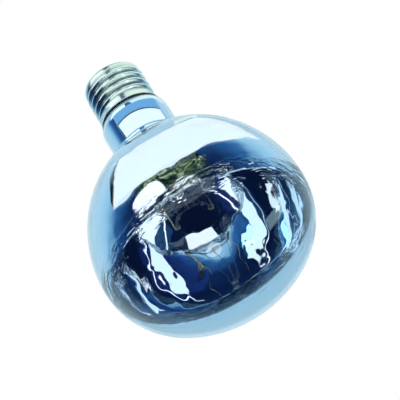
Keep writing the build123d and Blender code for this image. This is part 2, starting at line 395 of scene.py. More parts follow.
@dataclass(frozen=True)
class PlainSkin(Finish):
    """A surface of two close shades, mottled at one scale, with a fine relief."""

    light: str  # Lighter shade.
    dark: str  # Darker shade.
    smooth: float  # Roughness of the shinier spots.
    dull: float  # Roughness of the duller spots.
    grain_mm: float  # Spacing of the mottling.
    relief_mm: float  # Height of the relief.
    stretch: float = 1.0  # How much longer the mottling is along the lamp's axis than across it.
    metallic: float = 1.0  # 1 for a metal, 0 for glass, cement and the like.

    def skin(self, tree: NodeTree, place: NodeSocket) -> Inputs:
        """Build the mottled shades, with shine and relief to match.

        Args:
            tree: The material's node tree.
            place: Socket with the object's coordinates.

        Returns:
            Inputs of the principled shader.
        """
        scale = (1.0, 1.0, 1 / self.stretch)
        drawn_out = add_node(tree, "Mapping", {"Vector": place, "Scale": scale})
        spacing = {"Scale": 1 / (self.grain_mm * MM), "Detail": 3.0, "Roughness": 0.55}
        grain = add_node(tree, "TexNoise", {"Vector": drawn_out, **spacing})
        shades = {MIX_A: linear(self.dark), MIX_B: linear(self.light)}
        colour = add_node(tree, "Mix", {0: grain, **shades}, data_type="RGBA")
        rough = {"Value": grain, "To Min": self.dull, "To Max": self.smooth}
        relief = {"Height": grain, "Strength": 0.6, "Distance": self.relief_mm * MM}
        return {
            "Metallic": self.metallic,
            "Base Color": colour.outputs[MIXED],
            "Roughness": add_node(tree, "MapRange", rough),
            "Normal": add_node(tree, "Bump", relief),
        }


# Blown bulb glass: clear, with slow waves in its wall.
BULB_GLASS = ClearGlass("blown_soda_lime_glass", waves=WallWaves(wave_height=0.1, ripple_height=0.4))
# Drawn and pressed lead glass of the stem: clear, denser, with the marks of the press jaws.
STEM_GLASS = ClearGlass(
    "pressed_lead_glass",
    tint="#EFF5F2",
    ior=1.56,
    waves=WallWaves(wave=5.0, wave_height=0.05),
    depth_density=8.0,
)
# Mirror film: cold and bright, on a wall that bends what it shows.
MIRROR_FILM = AluminiumFilm(
    "vapour_laid_aluminium",
    waves=WallWaves(wave=22.0, wave_height=1.2, wave_detail=2.0, ripple_height=0.9, calm_z=46.0),
)
# Screw shell: bright nickel on rolled brass.
CAP_NICKEL = NickelSheet("nickel_plated_rolled_brass")
# Each PlainSkin below gives its lighter and darker shade, the roughness of its shiny and its dull spots,
# and its grain and relief in millimetres.

# Black glass at the cap's end: glossy, with a skin that rippled as it was pressed.
BLACK_GLASS = PlainSkin("pressed_black_glass", "#17161A", "#0B0A0D", 0.08, 0.16, 2.5, 0.03, metallic=0.0)
# Contact plate: plain brass, blanked and a little tarnished.
CONTACT_BRASS = PlainSkin("stamped_brass", "#E0C078", "#B4904C", 0.24, 0.42, 0.9, 0.01)
# Solder: tin gone dull and frosted as it set.
TIN_SOLDER = PlainSkin("set_tin_solder", "#D2D4D2", "#9EA2A2", 0.28, 0.5, 0.7, 0.03)
# Basing cement: baked resin with marble flour, matt and grainy.
BASING_CEMENT = PlainSkin("baked_resin_cement", "#B9A78C", "#94826A", 0.75, 0.95, 0.5, 0.08, metallic=0.0)
# Seal and outer leads: copper skin, reddened by the sealing flame.
COPPER_WIRE = PlainSkin("drawn_copper_wire", "#D89A78", "#A4603F", 0.2, 0.36, 0.25, 0.004, stretch=6.0)
# Lead wires: nickel, straw-coloured from the heat of the lamp.
NICKEL_WIRE = PlainSkin("drawn_nickel_wire", "#E3D6AE", "#B9A678", 0.18, 0.34, 0.25, 0.004, stretch=6.0)
# Filament hooks: molybdenum, grey and bright.
HOOK_WIRE = PlainSkin("drawn_molybdenum_wire", "#B9BCC2", "#8D9098", 0.22, 0.38, 0.2, 0.003, stretch=6.0)
# Filament: tungsten wire with die marks, dark grey.
TUNGSTEN_WIRE = PlainSkin("drawn_tungsten_wire", "#8D8F94", "#64666C", 0.25, 0.4, 0.1, 0.002)


# Mesh work


def turn_section(name: str, rows: Rows, segments: int) -> Object:
    """Turn a closed section about the lamp's axis into a solid of revolution.

    Args:
        name: Name of the object and its mesh.
        rows: The section's points, back to the first.
        segments: Steps round the axis.

    Returns:
        An object at the origin with a smooth closed mesh, in metres.
    """
    shape = bmesh.new()
    turns = [FULL_TURN * i / segments for i in range(segments)]
    rings: list[list[BMVert]] = []
    for radius, z in rows:
        if radius < ON_AXIS:
            rings.append([shape.verts.new((0.0, 0.0, z * MM))] * segments)
            continue
        spots = [(radius * MM * math.cos(turn), radius * MM * math.sin(turn), z * MM) for turn in turns]
        rings.append([shape.verts.new(spot) for spot in spots])
    for low, high in zip(rings, rings[1:] + rings[:1]):
        for i in range(segments):
            j = (i + 1) % segments
            corners = list(dict.fromkeys((low[i], low[j], high[j], high[i])))
            if len(corners) > 2:
                shape.faces.new(corners)
    bmesh.ops.recalc_face_normals(shape, faces=shape.faces)
    return keep_mesh(name, shape)


def keep(name: str, data: bpy.types.ID) -> Object:
    """Put new data into the scene as an object at the origin.

    Args:
        name: Name of the object.
        data: Its mesh, curve, light or camera.

    Returns:
        The new object.
    """
    made = bpy.data.objects.new(name, data)
    bpy.context.scene.collection.objects.link(made)
    return made


def keep_mesh(name: str, shape: BMesh) -> Object:
    """Store a finished bmesh as a smooth object at the origin.

    Args:
        name: Name of the object and its mesh.
        shape: The shape, which is freed.

    Returns:
        The new object, linked to the scene.
    """
    mesh = bpy.data.meshes.new(name)
    shape.to_mesh(mesh)
    shape.free()
    mesh.shade_smooth()
    return keep(name, mesh)


def settle_nodes(piece: Object, tree: NodeTree, sizes: dict[str, float]) -> Object:
    """Run a geometry node tree on an object and keep the result as a plain mesh.

    Args:
        piece: Object that carries the tree's start, which is used up.
        tree: The geometry node tree.
        sizes: Values for the tree's named inputs.

    Returns:
        A new object of the same name with the finished mesh.
    """
    modifier = piece.modifiers.new("shape", "NODES")
    modifier.node_group = tree
    for item in tree.interface.items_tree:
        if item.in_out == "INPUT" and item.name in sizes:
            modifier[item.identifier] = sizes[item.name]
    view = bpy.context.evaluated_depsgraph_get()
    mesh = bpy.data.meshes.new_from_object(piece.evaluated_get(view), depsgraph=view)
    name = piece.name
    piece.modifiers.remove(modifier)
    bpy.data.objects.remove(piece)
    mesh.name = name
    mesh.shade_smooth()
    return keep(name, mesh)


def new_tree(name: str, sizes: dict[str, float]) -> tuple[NodeTree, dict[str, NodeSocket]]:
    """Start a geometry node tree with a geometry input and named sizes.

    Args:
        name: Name of the tree.
        sizes: Name and usual value of each size, in metres or as a plain number.

    Returns:
        The tree and the sockets of its inputs, by name.
    """
    tree = bpy.data.node_groups.new(name, "GeometryNodeTree")
    tree.interface.new_socket("Geometry", in_out="INPUT", socket_type="NodeSocketGeometry")
    for label, value in sizes.items():
        tree.interface.new_socket(label, in_out="INPUT", socket_type="NodeSocketFloat").default_value = value
    tree.interface.new_socket("Geometry", in_out="OUTPUT", socket_type="NodeSocketGeometry")
    return tree, {socket.name: socket for socket in tree.nodes.new("NodeGroupInput").outputs}


def close_tree(tree: NodeTree, geometry: Node, finish: Finish) -> None:
    """End a geometry node tree in real geometry that carries its material.

    Args:
        tree: The tree.
        geometry: Node that gives the finished geometry.
        finish: Finish of the piece.
    """
    real = add_node(tree, "GeometryNodeRealizeInstances", {"Geometry": geometry})
    dressed = add_node(tree, "GeometryNodeSetMaterial", {"Geometry": real, "Material": finish.material()})
    add_node(tree, "NodeGroupOutput", {"Geometry": dressed})


def join_piece(piece: Object, finish: Finish, slot: Slot, *nodes: str) -> None:
    """Dress a finished piece and let it stand for its solids on the frame.

    Args:
        piece: The finished piece.
        finish: Its finish.
        slot: The record's slot for that finish; not used.
        *nodes: Solids of the frame that the piece stands for.
    """
    piece.data.materials.clear()
    piece.data.materials.append(finish.material())
    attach(piece, BODY)
    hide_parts(*nodes)
    LOG.info("%s: %d faces, for %s", piece.name, len(piece.data.polygons), ", ".join(nodes))


def dress_nodes(finish: Finish, *nodes: str) -> None:
    """Give solids of the frame their finish.

    Args:
        finish: The finish.
        *nodes: Names of the solids.
    """
    for node in nodes:
        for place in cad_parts[node].material_slots:
            place.material = finish.material()
        LOG.info("%s: %s", node, finish.name)


# Sub-assemblies


@dataclass
class BulbOutline:
    """Half section of the blown bulb, in millimetres."""

    bulb_radius: float = 47.5  # Widest radius.
    widest_z: float = 95.8  # Height of the widest place.
    back_depth: float = 51.1  # Depth of the bowl's ellipse behind it.
    front_height: float = 37.5  # Height of the front above it.
    rim_radius: float = 31.75  # Radius of the turn from the side to the front.
    neck_radius: float = 15.0  # Radius of the neck.
    neck_fillet: float = 8.005  # Radius of the hollow turn from the neck to the bowl.
    shoulder_radius: float = 6.384  # Radius of the swell from the tail to the neck.
    shoulder_top_z: float = 30.533  # Height where the swell ends.
    tail_radius: float = 11.2  # Radius of the tail in the cap.
    tail_bend: float = 2.0  # Radius of the hollow turn from the tail to the swell.
    tail_z: float = 10.0  # Height of its end.
    step: float = 1.1  # Spacing of the points along the section.
    fewest: int = 12  # Fewest steps along a round stretch.
    halvings: int = 60  # Halvings of the search for the place where the neck's fillet ends.

    def bowl_point(self, turn: float) -> tuple[Vector, Vector]:
        """Point of the bowl's ellipse and the way it faces.

        Args:
            turn: 0 at the ellipse's lowest point, a right angle at the widest place.

        Returns:
            Radius and height, and the outward direction.
        """
        across, along = math.sin(turn), math.cos(turn)
        point = Vector((self.bulb_radius * across, self.widest_z - self.back_depth * along))
        return point, Vector((self.back_depth * across, -self.bulb_radius * along)).normalized()

    def fillet_end(self) -> float:
        """Find where the neck's hollow fillet touches the bowl.

        Returns:
            The turn on the bowl's ellipse.
        """
        low, high = 0.0, RIGHT_ANGLE
        for _ in range(self.halvings):
            middle = (low + high) / 2
            point, facing = self.bowl_point(middle)
            if point.x + self.neck_fillet * facing.x < self.neck_radius + self.neck_fillet:
                low = middle
            else:
                high = middle
        return low

    def arc(self, centre: Vector, radius: float, start: float, end: float, facing: float) -> Outline:
        """Points along a circular stretch.

        Args:
            centre: Centre of the circle.
            radius: Its radius.
            start: First angle, in radians.
            end: Last angle.
            facing: 1 where the glass swells out, -1 where it is hollow.

        Returns:
            The stretch of the outline.
        """
        count = max(self.fewest, round(abs(end - start) * radius / self.step))
        turns = [start + (end - start) * i / count for i in range(count + 1)]
        ways = [Vector((math.cos(turn), math.sin(turn))) for turn in turns]
        return [(centre + radius * way, facing * way) for way in ways]

    def points(self) -> Outline:
        """Draw the whole outline.

        Returns:
            Points from the tail's end to the middle of the front.
        """
        shoulder = Vector((self.neck_radius - self.shoulder_radius, self.shoulder_top_z))
        reach = self.shoulder_radius + self.tail_bend
        waist_x = self.tail_radius + self.tail_bend
        waist = Vector((waist_x, shoulder.y - math.sqrt(reach**2 - (waist_x - shoulder.x) ** 2)))
        swell = math.atan2(shoulder.y - waist.y, waist.x - shoulder.x)
        turn = self.fillet_end()
        touch, facing = self.bowl_point(turn)
        hollow = touch + self.neck_fillet * facing
        hollow_end = math.atan2(-facing.y, -facing.x) % FULL_TURN
        rim = Vector((self.bulb_radius - self.rim_radius, self.widest_z))
        rise = self.front_height - self.rim_radius
        dome_radius = (rim.x**2 + self.front_height**2 - self.rim_radius**2) / (2 * rise)
        dome = Vector((0.0, self.widest_z + self.front_height - dome_radius))
        edge = math.atan2(rim.y - dome.y, rim.x)
        count = round((RIGHT_ANGLE - turn) * self.back_depth / self.step)
        line = [(Vector((self.tail_radius, self.tail_z)), Vector((1.0, 0.0)))]
        line += self.arc(waist, self.tail_bend, math.pi, math.pi - swell, -1.0)
        line += self.arc(shoulder, self.shoulder_radius, -swell, 0.0, 1.0)[1:]
        line += self.arc(hollow, self.neck_fillet, math.pi, hollow_end, -1.0)
        line += [self.bowl_point(turn + (RIGHT_ANGLE - turn) * i / count) for i in range(1, count + 1)]
        line += self.arc(rim, self.rim_radius, 0.0, edge, 1.0)[1:]
        line += self.arc(dome, dome_radius, edge, RIGHT_ANGLE, 1.0)[1:]
        return line

    def inset(self, depth: float) -> Rows:
        """Section of the bulb at a depth under its outer skin."""
        moved = [point - depth * facing for point, facing in self.points()]
        return [(0.0 if p.x < ON_AXIS else p.x, max(p.y, self.tail_z)) for p in moved]


@dataclass
class Bulb:
    """The blown glass and the mirror film inside it, in millimetres."""

    outline: BulbOutline  # Outer outline of the glass.
    wall: float = 0.9  # Thickness of the glass.
    film: float = 0.1  # Depth of the film's inner face under the inner skin of the glass.
    film_gap: float = 0.02  # Clearance that keeps the two surfaces from lying in each other.
    film_low_z: float = 24.0  # Height where the film starts.
    film_high_z: float = 104.0  # Height of its front edge.
    segments: int = 224  # Steps round the axis.

    def build(self) -> None:
        """Build and dress the glass and the film."""
        outside, inside = self.outline.inset(0.0), self.outline.inset(self.wall)
        glass = turn_section("bulb_glass", outside + inside[::-1], self.segments)
        join_piece(glass, BULB_GLASS, Slot.GLASS, "glass_bulb")
        outside, inside = self.film_rows(self.wall + self.film_gap), self.film_rows(self.wall + self.film)
        film = turn_section("mirror_film", outside + inside[::-1], self.segments)
        join_piece(film, MIRROR_FILM, Slot.FILM, "mirror_coating")

    def film_rows(self, depth: float) -> Rows:
        """One face of the film, cut level at both ends.

        Args:
            depth: How far inside the outer skin of the glass.

        Returns:
            The face's section.
        """
        line = self.outline.inset(depth)
        cut: Rows = []
        for (r0, z0), (r1, z1) in zip(line, line[1:]):
            for edge in (self.film_low_z, self.film_high_z):
                if z0 < edge <= z1:
                    cut.append((r0 + (r1 - r0) * (edge - z0) / (z1 - z0), edge))
            if self.film_low_z < z1 < self.film_high_z:
                cut.append((r1, z1))
        return cut


@dataclass
class ScrewCap:
    """Screw shell with its rolled thread, and the pieces at the cap's end, in millimetres."""

    sheet: float = 0.3  # Thickness of the sheet.
    thread_radius: float = 13.15  # Radius over the crests.
    thread_depth: float = 0.95  # Height from root to crest.
    pitch: float = 3.629  # Rise of one turn.
    thread_low_z: float = 6.8  # Height where the thread starts.
    thread_high_z: float = 23.0  # Height where it ends.
    fade: float = 2.4  # Length over which it grows and dies away.
    lip_z: float = 5.1  # Height of the lip at the end.
    lip_radius: float = 10.6  # Inner radius of the lip.
    lip_bend: float = 1.5  # Radius of its bend.
    bend_steps: int = 8  # Steps round that bend.
    skirt_z: float = 23.8  # Height where the smooth skirt starts.
    flare_z: float = 24.8  # Height where the rim turns out.
    rim_z: float = 25.8  # Height of the rim.
    rim_flare: float = 0.6  # How far the rim turns out.
    row_step: float = 0.16  # Spacing of the points along the thread.
    segments: int = 144  # Steps round the axis.

    def build(self) -> None:
        """Build the shell and dress the whole cap."""
        rows = self.wall_rows(0.0) + self.wall_rows(self.sheet)[::-1]
        blank = turn_section("cap_screw_shell", rows, self.segments)
        shell = settle_nodes(blank, self.rolling_tree(), self.rolling_sizes())
        join_piece(shell, CAP_NICKEL, Slot.CAP, "cap_shell")
        dress_nodes(BLACK_GLASS, "cap_insulator")
        dress_nodes(CONTACT_BRASS, "end_contact")
        dress_nodes(TIN_SOLDER, "contact_solder", "side_solder")
        dress_nodes(BASING_CEMENT, "cap_cement")

    def wall_rows(self, depth: float) -> Rows:
        """One face of the drawn shell, from the lip to the rim, before its thread is rolled.

        Args:
            depth: 0 for the outside, the sheet's thickness for the inside.

        Returns:
            The face's section.
        """
        middle = self.thread_radius - self.thread_depth / 2
        bend = self.lip_bend - depth
        corner = (middle - self.lip_bend, self.lip_z + self.lip_bend)
        turns = [RIGHT_ANGLE * i / self.bend_steps for i in range(self.bend_steps + 1)]
        rows = [(self.lip_radius, self.lip_z + depth)]
        rows += [(corner[0] + bend * math.sin(turn), corner[1] - bend * math.cos(turn)) for turn in turns]
        count = round((self.thread_high_z - self.thread_low_z) / self.row_step)
        rise = (self.thread_high_z - self.thread_low_z) / count
        rows += [(middle - depth, self.thread_low_z + rise * i) for i in range(count + 1)]
        rows += [(self.thread_radius - depth, self.skirt_z), (self.thread_radius - depth, self.flare_z)]
        rows += [(self.thread_radius + self.rim_flare - depth, self.rim_z)]
        return rows

    def rolling_sizes(self) -> dict[str, float]:
        """Sizes of the thread for the rolling tree, in metres."""
        return {
            "Start": self.thread_low_z * MM,
            "End": self.thread_high_z * MM,
            "Pitch": self.pitch * MM,
            "Fade": self.fade * MM,
            "Throw": self.thread_depth / 2 * MM,
        }

    def rolling_tree(self) -> NodeTree:
        """Build the tree that rolls the thread: it sets each level ring off the axis, turn by turn.

        Returns:
            The geometry node tree.
        """
        tree, given = new_tree("roll_screw_thread", self.rolling_sizes())
        place = add_node(tree, "GeometryNodeInputPosition")
        z = add_node(tree, "SeparateXYZ", {"Vector": place}).outputs["Z"]
        above = add_node(tree, "Math", {0: z, 1: given["Start"]}, operation="SUBTRACT")
        below = add_node(tree, "Math", {0: given["End"], 1: z}, operation="SUBTRACT")
        nearest = add_node(tree, "Math", {0: above, 1: below}, operation="MINIMUM")
        share = add_node(tree, "Math", {0: nearest, 1: given["Fade"]}, operation="DIVIDE", use_clamp=True)
        reach = {"Value": share, "To Max": given["Throw"]}
        throw = add_node(tree, "MapRange", reach, interpolation_type="SMOOTHSTEP")
        turns = add_node(tree, "Math", {0: above, 1: given["Pitch"]}, operation="DIVIDE")
        angle = add_node(tree, "Math", {0: turns, 1: FULL_TURN}, operation="MULTIPLY")
        across = add_node(tree, "Math", {0: angle}, operation="COSINE")
        along = add_node(tree, "Math", {0: angle}, operation="SINE")
        way = add_node(tree, "CombineXYZ", {"X": across, "Y": along})
        offset = add_node(tree, "VectorMath", {"Vector": way, "Scale": throw}, operation="SCALE")
        rolled = add_node(tree, "GeometryNodeSetPosition", {"Geometry": given["Geometry"], "Offset": offset})
        close_tree(tree, rolled, CAP_NICKEL)
        return tree


@dataclass
class FilamentMount:
    """Stem, leads, hooks and the coiled filament, in millimetres."""

    ring: float = 8.0  # Radius of the filament's bow.
    height: float = 86.0  # Height of the bow.
    leg: float = 1.2  # Length of its straight ends.
    bow_steps: int = 48  # Steps round the bow.
    coil_radius: float = 0.55  # Outer radius of the coil.
    wire_radius: float = 0.09  # Radius of its wire, drawn thicker than the real one so that it shows.
    wire_sides: int = 6  # Sides of the wire's section.
    coil_pitch: float = 0.34  # Spacing of its turns.
    steps_per_turn: int = 12  # Points in one turn.

    def build(self) -> None:
        """Build the coil and dress the whole mount."""
        coil = settle_nodes(self.coil_path(), self.coil_tree(), self.coil_sizes())
        join_piece(coil, TUNGSTEN_WIRE, Slot.FILAMENT, "filament")
        dress_nodes(STEM_GLASS, "stem_flare", "exhaust_tube", "arbor_rod")
        dress_nodes(COPPER_WIRE, "seal_wire_left", "seal_wire_right", "contact_lead", "shell_lead")
        dress_nodes(NICKEL_WIRE, "lead_wire_left", "lead_wire_right")
        dress_nodes(HOOK_WIRE, "support_wire_left", "support_wire_middle", "support_wire_right")

    def coil_path(self) -> Object:
        """Draw the line that the coil follows: a leg, half a ring and a leg.

        Returns:
            A curve object.
        """
        turns = [math.pi * (1 + i / self.bow_steps) for i in range(self.bow_steps + 1)]
        bow = [(self.ring * math.cos(turn), self.ring * math.sin(turn)) for turn in turns]
        line = [(-self.ring, self.leg), *bow, (self.ring, self.leg)]
        curve = bpy.data.curves.new("filament_coil", "CURVE")
        curve.dimensions = "3D"
        spline = curve.splines.new("POLY")
        spline.points.add(len(line) - 1)
        for point, (x, y) in zip(spline.points, line):
            point.co = (x * MM, y * MM, self.height * MM, 1.0)
        return keep("filament_coil", curve)

    def coil_sizes(self) -> dict[str, float]:
        """Sizes of the coil for its tree, in metres."""
        return {
            "Turn radius": (self.coil_radius - self.wire_radius) * MM,
            "Wire radius": self.wire_radius * MM,
            "Pitch": self.coil_pitch * MM,
            "Step": self.coil_pitch / self.steps_per_turn * MM,
        }

    def coil_tree(self) -> NodeTree:
        """Build the tree that winds a fine wire round the path and gives it a round section.

        Returns:
            The geometry node tree.
        """
        tree, given = new_tree("wind_filament", self.coil_sizes())
        path = {"Curve": given["Geometry"], "Length": given["Step"]}
        fine = add_node(tree, "GeometryNodeResampleCurve", path, mode="LENGTH")
        level = add_node(tree, "GeometryNodeSetCurveNormal", {"Curve": fine}, mode="Z_UP")
        run = add_node(tree, "GeometryNodeSplineParameter").outputs["Length"]
        turns = add_node(tree, "Math", {0: run, 1: given["Pitch"]}, operation="DIVIDE")
        angle = add_node(tree, "Math", {0: turns, 1: FULL_TURN}, operation="MULTIPLY")
        side = add_node(tree, "GeometryNodeInputNormal")
        ahead = add_node(tree, "GeometryNodeInputTangent")
        turned = {"Vector": side, "Axis": ahead, "Angle": angle}
        out = add_node(tree, "VectorRotate", turned, rotation_type="AXIS_ANGLE")
        reach = {"Vector": out, "Scale": given["Turn radius"]}
        offset = add_node(tree, "VectorMath", reach, operation="SCALE")
        wound = add_node(tree, "GeometryNodeSetPosition", {"Geometry": level, "Offset": offset})
        outline = {"Resolution": self.wire_sides, "Radius": given["Wire radius"]}
        section = add_node(tree, "GeometryNodeCurvePrimitiveCircle", outline)
        swept = {"Curve": wound, "Profile Curve": section, "Fill Caps": True}
        close_tree(tree, add_node(tree, "GeometryNodeCurveToMesh", swept), TUNGSTEN_WIRE)
        return tree


# Studio


# Skins of glass that a line of sight crosses on its way in to the mirror and out again.
MIRROR_CROSSINGS = 4
# Colours of the room, from the camera's side of the lamp at 0 to straight behind it at 1.
ROOM = (
    (0.0, "#07122A"),
    (0.36, "#0B1C40"),
    (0.49, "#152F5A"),
    (0.575, "#31689F"),
    (0.65, "#A2D4EE"),
    (0.73, "#BEE3F6"),
    (0.9, "#D0ECFA"),
    (0.985, "#DAF1FC"),
)


def hung_at(aim: Vector, towards: tuple[float, float, float], distance: float) -> Matrix:
    """Place of a flat thing that faces a point from some direction and distance, in metres."""
    way = Vector(towards).normalized()
    return Matrix.Translation(aim + way * distance) @ way.to_track_quat("Z", "Y").to_matrix().to_4x4()


def stage_card(name: str, shape: BMesh, *papers: Material) -> None:
    """Put up a card that shows only in the mirror, the glass and the metal.

    Args:
        name: Name of the card.
        shape: The card, in its place.
        *papers: Its materials.
    """
    card = keep_mesh(name, shape)
    for paper in papers:
        card.data.materials.append(paper)
    card.visible_camera = False
    card.visible_shadow = False


class BoxFace(Enum):
    """Shapes that the face of a soft box can have."""

    SQUARE = "RECTANGLE"
    ROUND = "ELLIPSE"


@dataclass(frozen=True)
class SoftBox:
    """A soft box that shows in the mirror and the glass, and lights the lamp."""

    name: str  # Name of the lamp object.
    towards: tuple[float, float, float]  # Direction from the bulb to the box.
    width: float  # Width, in metres.
    height: float  # Height, in metres.
    glow: float  # How bright its face is, where 1 is white.
    tint: str = "#FFFFFF"  # Colour of its face.
    face: BoxFace = BoxFace.SQUARE  # Shape of its face.
    # Whether a polarising sheet keeps it out of the skin of the glass, so that only the mirror shows it.
    polarised: bool = False
    only: str = ""  # Name of the one piece that it is shaded off to light, every piece where empty.
    distance: float = 1.5  # Distance from the bulb, in metres.

    def hang(self, aim: Vector) -> None:
        """Hang the box and point it at the lamp.

        Args:
            aim: Point that it faces, in metres.
        """
        light = bpy.data.lights.new(self.name, "AREA")
        light.shape = self.face.value
        light.size, light.size_y = self.width, self.height
        share = 1.0 if self.face is BoxFace.SQUARE else math.pi / 4
        light.energy = self.glow * math.pi * self.width * self.height * share
        light.color = linear(self.tint)[:3]
        box = keep(self.name, light)
        box.matrix_world = hung_at(aim, self.towards, self.distance)
        box.visible_camera = False
        if self.polarised:
            self.polarise(light)
            box.visible_glossy = False
        if self.only:
            lit = bpy.data.collections.new(f"{self.name}_lights")
            lit.objects.link(bpy.data.objects[self.only])
            box.light_linking.receiver_collection = lit

    def polarise(self, light: Light) -> None:
        """Let the box show only where the line of sight went into the glass and out again by the mirror.

        Args:
            light: The box's light.
        """
        tree = empty_tree(light)
        crossings = add_node(tree, "LightPath").outputs["Transmission Depth"]
        enough = {0: crossings, 1: MIRROR_CROSSINGS - 0.5}
        mirrored = add_node(tree, "Math", enough, operation="GREATER_THAN")
        glow = add_node(tree, "Emission", {"Strength": mirrored})
        add_node(tree, "OutputLight", {"Surface": glow})


@dataclass(frozen=True)
class RingCard:
    """A card round part of the lamp, for the mirror, the glass and the metal to show, in millimetres.

    Turns are in degrees round the axis, from the camera's side towards the photograph's right.
    """

    name: str  # Name of the card.
    height: float  # Height of the card above the lamp's end.
    inner: float  # Radius of its inner edge.
    outer: float  # Radius of its outer edge.
    start: float  # Turn where it starts.
    end: float  # Turn where it ends.
    bow: float = 0.0  # How much further its outer edge reaches on the camera's side.
    # Degrees at its start over which the inner edge is cut straight to the outer corner.
    start_cut: float = 0.0
    end_cut: float = 0.0  # The same at its end.
    glow: float = 1.0  # How bright the card is, where 1 is its colour as written.
    colour: str = "#F7FDFF"  # Colour of the card.
    edge_colour: str = "#0C141C"  # Colour of its bound inner edge.
    edge: float = 0.0  # Width of that binding, none where 0.
    start_edge: float = 0.0  # Its width along the cut at the start.
    widening: float = 5.0  # It takes on that width over one part in so many of the cut.
    tapering: float = 4.0  # It runs out towards the corner over one part in so many of the cut.
    collar: float = 0.0  # Depth of the collar that hangs from its inner edge, none where 0.
    collar_colour: str = "#74AAD6"  # Colour of the collar.
    steps: int = 80  # Steps round the lamp.

    def lay(self) -> None:
        """Cut the card, with its binding and its collar, and lay it round the lamp."""
        turns = [self.start + (self.end - self.start) * i / self.steps for i in range(self.steps + 1)]
        hang = Vector((0.0, 0.0, -self.collar * MM))
        inside = [self.near(turn, 0.0) for turn in turns]
        bound = [self.near(turn, 1.0) for turn in turns]
        outside = [self.spot(self.reach(turn), turn) for turn in turns]
        lines = ([point + hang for point in inside], inside, bound, outside)
        shape = bmesh.new()
        for part, width in enumerate((self.collar, self.edge, self.outer - self.inner)):
            low, high = lines[part : part + 2]
            for i in range(self.steps if width else 0):
                corners = (low[i], high[i], high[i + 1], low[i + 1])
                shape.faces.new([shape.verts.new(corner) for corner in corners]).material_index = part
        colours = (self.collar_colour, self.edge_colour, self.colour)
        stage_card(self.name, shape, *(self.lit_paper(colour) for colour in colours))

    def near(self, turn: float, depth: float) -> Vector:
        """Point on the card's inner edge, or across its binding.

        Args:
            turn: Where round the axis.
            depth: 0 on the edge, 1 on the far side of the binding.

        Returns:
            The point, in metres.
        """
        cuts = (
            (self.start, self.start + self.start_cut, self.start_edge),
            (self.end, self.end - self.end_cut, self.edge),
        )
        for tip_turn, cut_turn, full_width in cuts:
            share = (turn - cut_turn) / (tip_turn - cut_turn) if tip_turn != cut_turn else 0.0
            if share > 0:
                corner, tip = self.spot(self.inner, cut_turn), self.spot(self.reach(tip_turn), tip_turn)
                across = (tip - corner).cross(Vector((0.0, 0.0, 1.0))).normalized()
                across *= math.copysign(1.0, across.x * corner.x + across.y * corner.y)
                width = self.edge + (full_width - self.edge) * min(1.0, self.widening * share)
                taper = min(1.0, self.tapering * (1 - share))
                return corner.lerp(tip, share) + across * depth * width * MM * taper
        return self.spot(self.inner + depth * self.edge, turn)

    def reach(self, turn: float) -> float:
        """Radius of the outer edge at a turn."""
        return self.outer + self.bow * math.cos(math.radians(turn)) ** 2

    def spot(self, radius: float, turn: float) -> Vector:
        """Point on the card's plane, in metres, at a radius and a turn."""
        way = math.radians(turn)
        return Vector((-radius * math.sin(way), -radius * math.cos(way), self.height)) * MM

    def lit_paper(self, colour: str) -> Material:
        """Evenly lit paper of one colour.

        Args:
            colour: The colour.

        Returns:
            A material that glows as the lit paper does.
        """
        made = bpy.data.materials.new(f"{self.name}_paper")
        tree = empty_tree(made)
        lit = add_node(tree, "Emission", {"Color": linear(colour), "Strength": self.glow})
        add_node(tree, "OutputMaterial", {"Surface": lit})
        return made


@dataclass(frozen=True)
class MottledCard:
    """An oval card with a mottled print, which shows only in the mirror, the glass and the metal."""

    name: str  # Name of the card.
    towards: tuple[float, float, float]  # Direction from the bulb to the card.
    width: float  # Width, in metres.
    height: float  # Height, in metres.
    shades: tuple[str, ...]  # Colours of the print, from its dark spots to its light ones.
    grain: float  # Spacing of the spots, in metres.
    darkest: float = 0.38  # Level of the noise at which the first colour ends.
    spread: float = 0.3  # How much higher the last colour starts.
    distance: float = 0.9  # Distance from the bulb, in metres.
    steps: int = 64  # Steps round its outline.

    def hang(self, aim: Vector) -> None:
        """Cut the card and hang it facing the lamp.

        Args:
            aim: Point that it faces, in metres.
        """
        shape = bmesh.new()
        bmesh.ops.create_circle(shape, cap_ends=True, segments=self.steps, radius=0.5)
        bmesh.ops.scale(shape, verts=shape.verts, vec=(self.width, self.height, 1.0))
        bmesh.ops.transform(shape, matrix=hung_at(aim, self.towards, self.distance), verts=shape.verts)
        stage_card(self.name, shape, self.print_paper())

    def print_paper(self) -> Material:
        """Print the card.

        Returns:
            A material that glows as lit paper with the print on it does.
        """
        made = bpy.data.materials.new(f"{self.name}_print")
        tree = empty_tree(made)
        place = add_node(tree, "TexCoord").outputs["Object"]
        spacing = {"Scale": 1 / self.grain, "Detail": 4.0, "Distortion": 1.2}
        spots = add_node(tree, "TexNoise", {"Vector": place, **spacing})
        ramp = add_node(tree, "ValToRGB", {"Fac": spots})
        gap = self.spread / (len(self.shades) - 1)
        fill_ramp(ramp, [(self.darkest + gap * i, shade) for i, shade in enumerate(self.shades)])
        lit = add_node(tree, "Emission", {"Color": ramp, "Strength": 1.0})
        add_node(tree, "OutputMaterial", {"Surface": lit})
        return made


